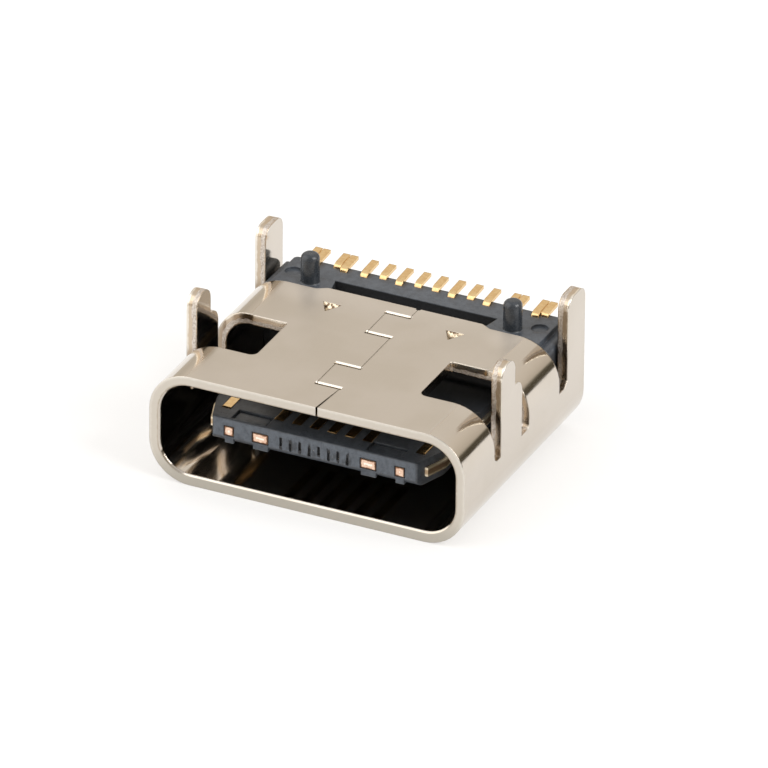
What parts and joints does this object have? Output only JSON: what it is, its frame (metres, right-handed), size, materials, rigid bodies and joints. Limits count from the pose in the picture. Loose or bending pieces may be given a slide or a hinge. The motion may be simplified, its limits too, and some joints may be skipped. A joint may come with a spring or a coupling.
{
  "type": "usb-c socket",
  "caption": "Board-mount USB-C socket: folded metal shell with solder tabs and locating pegs, a moulded tongue with gold contacts, and solder tails at the rear.",
  "frame": {"origin": "centre of the mouth opening, at its front rim", "axes": "+X to the right when looking into the mouth, +Y into the socket, +Z towards the circuit board that the socket is soldered to"},
  "size_m": [0.009, 0.0078, 0.0042],
  "materials": {
    "nickel_plated_steel": "nickel plating, satin, slightly warm",
    "moulding": "dark blue-grey moulded plastic, dull",
    "copper_alloy": "bare copper-coloured cut ends",
    "gold_plated_contact": "gold plating, bright"
  },
  "bodies": {
    "root": {"shell": "nickel_plated_steel", "housing": "moulding", "carrier_a": "moulding", "carrier_b": "moulding", "mid_plate": "copper_alloy", "contact_a1": "gold_plated_contact", "contact_a4": "gold_plated_contact", "contact_a5": "gold_plated_contact", "contact_a6": "gold_plated_contact", "contact_a7": "gold_plated_contact", "contact_a8": "gold_plated_contact", "contact_a9": "gold_plated_contact", "contact_a12": "gold_plated_contact", "contact_b1": "gold_plated_contact", "contact_b4": "gold_plated_contact", "contact_b5": "gold_plated_contact", "contact_b6": "gold_plated_contact", "contact_b7": "gold_plated_contact", "contact_b8": "gold_plated_contact", "contact_b9": "gold_plated_contact", "contact_b12": "gold_plated_contact"}
  },
  "joints": []
}
